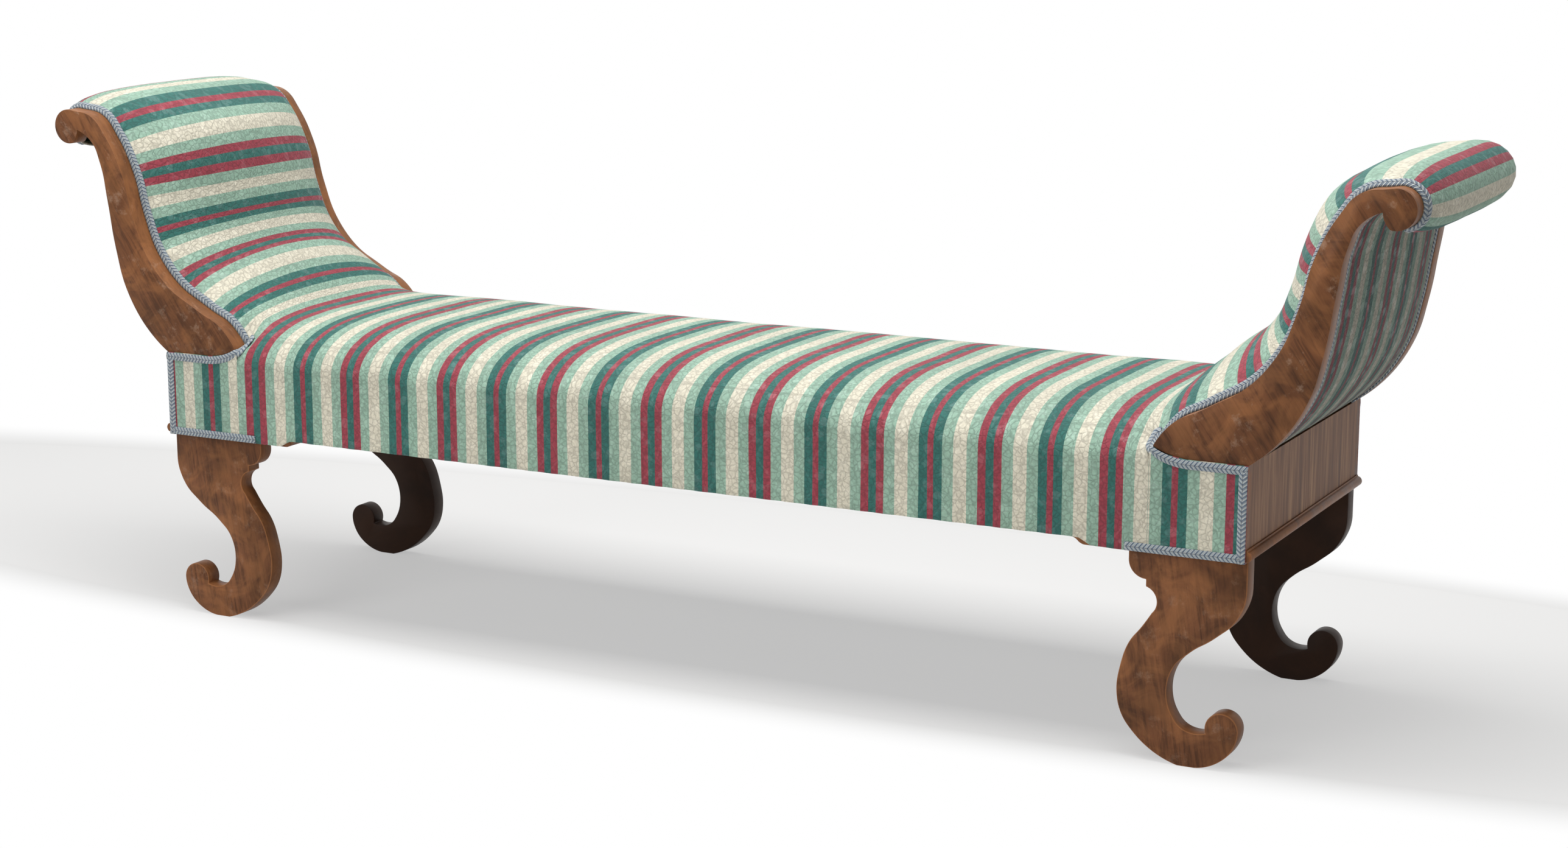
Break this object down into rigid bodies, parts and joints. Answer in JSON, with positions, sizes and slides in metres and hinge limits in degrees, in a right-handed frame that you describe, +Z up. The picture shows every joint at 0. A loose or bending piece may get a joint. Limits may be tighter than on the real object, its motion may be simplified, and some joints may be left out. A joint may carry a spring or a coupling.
{
  "type": "recamier",
  "caption": "Long backless upholstered seat with two scrolled padded ends, walnut scroll legs and arm boards, striped cover and braid edging.",
  "frame": {"origin": "on the floor under the middle of the seat", "axes": "+X along the seat to its right end seen from the front, -Y towards the front, +Z up"},
  "size_m": [2.205, 0.504, 0.8197],
  "materials": {
    "walnut": "waxed walnut, satin",
    "frame_beech": "planed beech, unfinished",
    "webbing": "woven jute webbing",
    "hessian": "plain hessian",
    "stuffing": "fibre and cotton wadding",
    "striped_cloth": "striped damask, matt",
    "gimp": "flat braided gimp",
    "black_cotton": "black bottoming cotton"
  },
  "bodies": {
    "root": {"arm_board_back_left": "walnut", "arm_board_back_right": "walnut", "arm_board_front_left": "walnut", "arm_board_front_right": "walnut", "arm_cover_left": "striped_cloth", "arm_cover_right": "striped_cloth", "arm_hessian_left": "hessian", "arm_hessian_right": "hessian", "arm_stuffing_left": "stuffing", "arm_stuffing_right": "stuffing", "arm_webbing_left": "webbing", "arm_webbing_right": "webbing", "back_rail": "frame_beech", "bead_left": "walnut", "bead_right": "walnut", "board_dowels": "frame_beech", "corner_blocks": "frame_beech", "cross_brace_left": "frame_beech", "cross_brace_right": "frame_beech", "cross_webbing": "webbing", "end_rail_left": "walnut", "end_rail_right": "walnut", "front_rail": "frame_beech", "gimp_arm_left": "gimp", "gimp_arm_right": "gimp", "gimp_back": "gimp", "gimp_front": "gimp", "gimp_outside_left": "gimp", "gimp_outside_right": "gimp", "leg_back_left": "walnut", "leg_back_right": "walnut", "leg_dowels": "frame_beech", "leg_front_left": "walnut", "leg_front_right": "walnut", "long_webbing": "webbing", "lower_rail_left": "frame_beech", "lower_rail_right": "frame_beech", "middle_rail_left": "frame_beech", "middle_rail_right": "frame_beech", "outside_cover_left": "striped_cloth", "outside_cover_right": "striped_cloth", "roll_rail_left": "frame_beech", "roll_rail_right": "frame_beech", "seat_cover": "striped_cloth", "seat_hessian": "hessian", "seat_stuffing": "stuffing", "under_cloth": "black_cotton"}
  },
  "joints": []
}
